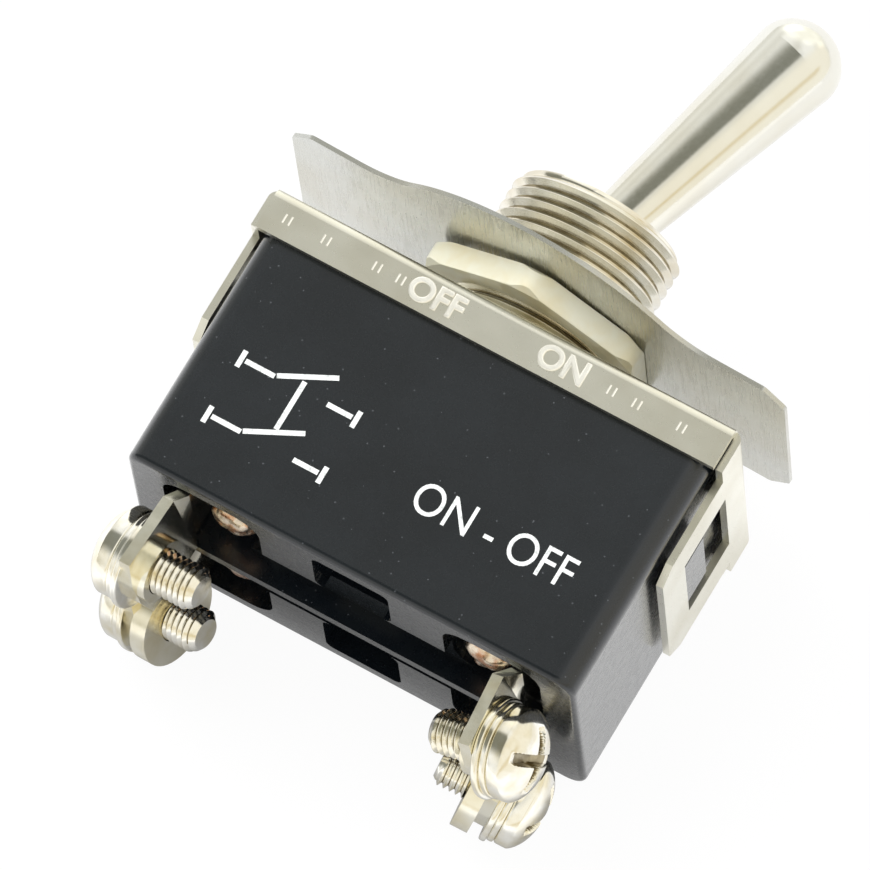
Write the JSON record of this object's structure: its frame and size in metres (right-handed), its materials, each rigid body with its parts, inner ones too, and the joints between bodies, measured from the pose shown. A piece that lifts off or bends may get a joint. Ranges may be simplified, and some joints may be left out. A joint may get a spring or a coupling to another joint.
{
  "type": "toggle switch",
  "caption": "Heavy-duty toggle switch: bat lever in a threaded bushing, hex nut, round-middled plate, dark box body and screw terminals below.",
  "frame": {"origin": "on the bushing's axis, in the plane of the cap's top face, where the back of the panel seats", "axes": "+Z along the bushing towards the lever's tip, +X along the body towards the side the lever is thrown to, +Y across the body"},
  "size_m": [0.0362, 0.0268, 0.0564],
  "materials": {
    "phenolic": "charcoal moulded phenolic, satin, with fine specks",
    "plated_sheet": "nickel-plated stamped steel sheet, satin",
    "plated_bushing": "nickel-plated turned brass, bright",
    "plated_lever": "polished nickel plate",
    "steel_pin": "ground steel",
    "insulator": "brown moulded insulating resin",
    "plated_nut": "nickel-plated brass with a warm tone",
    "satin_plate": "satin nickel-plated steel, finely brushed",
    "spring_steel": "drawn spring wire",
    "contact_copper": "bare copper alloy, dull",
    "silver_contact": "silver alloy, matt",
    "plated_terminal": "nickel-plated brass, slightly yellow and uneven",
    "plated_screw": "nickel-plated steel, slightly yellow and uneven"
  },
  "bodies": {
    "base": {"housing": "phenolic", "frame_cap": "plated_sheet", "bushing": "plated_bushing", "mounting_nut": "plated_nut", "on_off_plate": "satin_plate", "terminal_front_left": "plated_terminal", "terminal_rivet_front_left": "contact_copper", "terminal_screw_front_left": "plated_screw", "flat_washer_front_left": "plated_screw", "lock_washer_front_left": "plated_screw", "terminal_front_right": "plated_terminal", "terminal_rivet_front_right": "contact_copper", "terminal_screw_front_right": "plated_screw", "flat_washer_front_right": "plated_screw", "lock_washer_front_right": "plated_screw", "terminal_rear_left": "plated_terminal", "terminal_rivet_rear_left": "contact_copper", "terminal_screw_rear_left": "plated_screw", "flat_washer_rear_left": "plated_screw", "lock_washer_rear_left": "plated_screw", "terminal_rear_right": "plated_terminal", "terminal_rivet_rear_right": "contact_copper", "terminal_screw_rear_right": "plated_screw", "flat_washer_rear_right": "plated_screw", "lock_washer_rear_right": "plated_screw"},
    "lever": {"toggle_lever": "plated_lever", "lever_pin": "steel_pin", "actuator": "insulator", "plunger_spring_front": "spring_steel", "plunger_spring_rear": "spring_steel"},
    "plunger_front": {"plunger_front": "insulator"},
    "plunger_rear": {"plunger_rear": "insulator"},
    "rocker_front": {"rocker_front": "contact_copper", "moving_contact_front": "silver_contact"},
    "rocker_rear": {"rocker_rear": "contact_copper", "moving_contact_rear": "silver_contact"}
  },
  "joints": [
    {"name": "lever_throw", "type": "hinge", "parent": "base", "child": "lever", "pos_m": [0, 0, 0.0075], "axis": [0, 1, 0], "range_deg": [-33, 0]},
    {"name": "plunger_slide_front", "type": "slide", "parent": "lever", "child": "plunger_front", "axis": [0.284, 0, 0.9588], "range_m": [0, 0.001], "stiffness_N_per_m": 800, "springref_m": -0.001, "deforming": ["plunger_spring_front"]},
    {"name": "rocker_tilt_front", "type": "hinge", "parent": "base", "child": "rocker_front", "pos_m": [0, -0.00425, -0.01388], "axis": [0, 1, 0], "range_deg": [0, 18]},
    {"name": "plunger_slide_rear", "type": "slide", "parent": "lever", "child": "plunger_rear", "axis": [0.284, 0, 0.9588], "range_m": [0, 0.001], "stiffness_N_per_m": 800, "springref_m": -0.001, "deforming": ["plunger_spring_rear"]},
    {"name": "rocker_tilt_rear", "type": "hinge", "parent": "base", "child": "rocker_rear", "pos_m": [0, 0.00425, -0.01388], "axis": [0, 1, 0], "range_deg": [0, 18]}
  ],
  "couplings": [
    {"joint": "rocker_tilt_front", "follows": "lever_throw", "ratio": -0.54545},
    {"joint": "rocker_tilt_rear", "follows": "lever_throw", "ratio": -0.54545}
  ]
}
